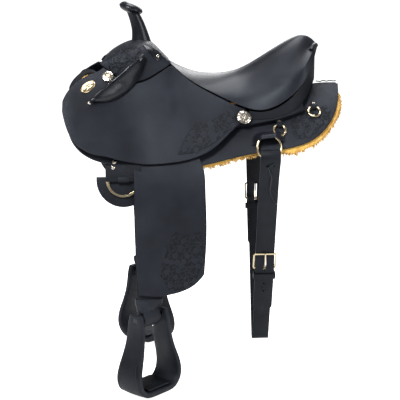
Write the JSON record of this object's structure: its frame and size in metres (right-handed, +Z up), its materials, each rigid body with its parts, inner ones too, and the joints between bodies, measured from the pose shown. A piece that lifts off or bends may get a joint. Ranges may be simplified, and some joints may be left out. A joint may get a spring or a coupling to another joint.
{
  "type": "western saddle",
  "caption": "Black western saddle with a tall horn, bucking rolls, a deep seat, fenders with bell stirrups, fleece-lined skirts and a flank cinch.",
  "frame": {"origin": "centre plane, level with the bearing line of the tree bars on the horse's back", "axes": "+X to the tail, -Y to the near (left) side, +Z up"},
  "size_m": [0.7248, 0.5752, 0.9836],
  "materials": {
    "black_leather": "black, oiled, soft sheen",
    "smooth_leather": "black, smooth, polished",
    "fleece": "golden woolly pile",
    "tree_wood": "bare",
    "foam": "felted",
    "steel": "brushed",
    "gilt_metal": "pale gilt, polished",
    "silver": "engraved, polished"
  },
  "bodies": {
    "saddle": {"fleece_near": "fleece", "fleece_off": "fleece", "skirt_near": "black_leather", "skirt_off": "black_leather", "tree_bar_near": "tree_wood", "tree_bar_off": "tree_wood", "jockey_near": "black_leather", "jockey_off": "black_leather", "poley_near": "smooth_leather", "poley_off": "smooth_leather", "front_rigging_near": "black_leather", "front_rigging_off": "black_leather", "rear_rigging_near": "black_leather", "rear_rigging_off": "black_leather", "concho_rear_near": "silver", "concho_rear_off": "silver", "concho_front_near": "silver", "concho_front_off": "silver", "skirt_lace": "black_leather", "seat_cover": "smooth_leather", "seat_pad": "foam", "strainer_plate": "steel", "tree_cantle": "tree_wood", "cantle_back": "black_leather", "swell_cover": "black_leather", "tree_fork": "tree_wood", "horn_core": "tree_wood", "horn_wrap": "smooth_leather", "horn_cap": "smooth_leather"},
    "fender_near": {"fender_near": "black_leather", "stirrup_leather_near": "black_leather", "hobble_strap_near": "black_leather"},
    "stirrup_near": {"stirrup_near": "black_leather", "stirrup_tread_near": "black_leather", "stirrup_bolt_near": "steel"},
    "fender_off": {"fender_off": "black_leather", "stirrup_leather_off": "black_leather", "hobble_strap_off": "black_leather"},
    "stirrup_off": {"stirrup_off": "black_leather", "stirrup_tread_off": "black_leather", "stirrup_bolt_off": "steel"},
    "flank_strap": {"rear_ring_near": "gilt_metal", "rear_ring_off": "gilt_metal", "flank_billet_near": "black_leather", "flank_billet_off": "black_leather", "cinch_buckle_near": "gilt_metal", "cinch_buckle_off": "gilt_metal", "cinch_keeper_near": "black_leather", "cinch_keeper_off": "black_leather", "billet_lace_near": "black_leather", "billet_lace_off": "black_leather", "flank_cinch": "black_leather"},
    "tongue_near": {"buckle_tongue_near": "gilt_metal"},
    "front_dee_near": {"front_dee_near": "gilt_metal"},
    "bag_dee_fore_near": {"bag_dee_fore_near": "gilt_metal"},
    "bag_dee_aft_near": {"bag_dee_aft_near": "gilt_metal"},
    "tongue_off": {"buckle_tongue_off": "gilt_metal"},
    "front_dee_off": {"front_dee_off": "gilt_metal"},
    "bag_dee_fore_off": {"bag_dee_fore_off": "gilt_metal"},
    "bag_dee_aft_off": {"bag_dee_aft_off": "gilt_metal"}
  },
  "joints": [
    {"name": "fender_swing_near", "type": "hinge", "parent": "saddle", "child": "fender_near", "pos_m": [-0.112, -0.13873, -0.04552], "axis": [0, -0.7767, 0.6298], "range_deg": [-2, 12]},
    {"name": "stirrup_swing_near", "type": "hinge", "parent": "fender_near", "child": "stirrup_near", "pos_m": [-0.146, -0.21131, -0.499], "axis": [0.7071, 0.7071, 0], "range_deg": [-18, 18]},
    {"name": "fender_swing_off", "type": "hinge", "parent": "saddle", "child": "fender_off", "pos_m": [-0.112, 0.13873, -0.04552], "axis": [0, 0.7767, 0.6298], "range_deg": [-12, 2]},
    {"name": "stirrup_swing_off", "type": "hinge", "parent": "fender_off", "child": "stirrup_off", "pos_m": [-0.146, 0.21131, -0.499], "axis": [0.7071, -0.7071, 0], "range_deg": [-18, 18]},
    {"name": "flank_swing", "type": "hinge", "parent": "saddle", "child": "flank_strap", "pos_m": [0.165, 0, -0.07], "axis": [0, 1, 0], "range_deg": [-12, 12]},
    {"name": "tongue_near_turn", "type": "hinge", "parent": "flank_strap", "child": "tongue_near", "pos_m": [0.168, -0.0783, -0.41237], "axis": [1, 0, 0], "range_deg": [0, 25]},
    {"name": "tongue_off_turn", "type": "hinge", "parent": "flank_strap", "child": "tongue_off", "pos_m": [0.168, 0.12458, -0.26339], "axis": [-1, 0, 0], "range_deg": [0, 25]},
    {"name": "front_dee_swing_near", "type": "hinge", "parent": "saddle", "child": "front_dee_near", "pos_m": [-0.206, -0.19334, -0.1447], "axis": [-1, 0, 0], "range_deg": [0, 5]},
    {"name": "bag_dee_fore_swing_near", "type": "hinge", "parent": "saddle", "child": "bag_dee_fore_near", "pos_m": [0.197, -0.1185, -0.01997], "axis": [-1, 0, 0], "range_deg": [0, 80]},
    {"name": "bag_dee_aft_swing_near", "type": "hinge", "parent": "saddle", "child": "bag_dee_aft_near", "pos_m": [0.291, -0.08603, 0.02223], "axis": [-1, 0, 0], "range_deg": [0, 80]},
    {"name": "front_dee_swing_off", "type": "hinge", "parent": "saddle", "child": "front_dee_off", "pos_m": [-0.206, 0.19334, -0.1447], "axis": [1, 0, 0], "range_deg": [0, 5]},
    {"name": "bag_dee_fore_swing_off", "type": "hinge", "parent": "saddle", "child": "bag_dee_fore_off", "pos_m": [0.197, 0.1185, -0.01997], "axis": [1, 0, 0], "range_deg": [0, 80]},
    {"name": "bag_dee_aft_swing_off", "type": "hinge", "parent": "saddle", "child": "bag_dee_aft_off", "pos_m": [0.291, 0.08603, 0.02223], "axis": [1, 0, 0], "range_deg": [0, 80]}
  ]
}
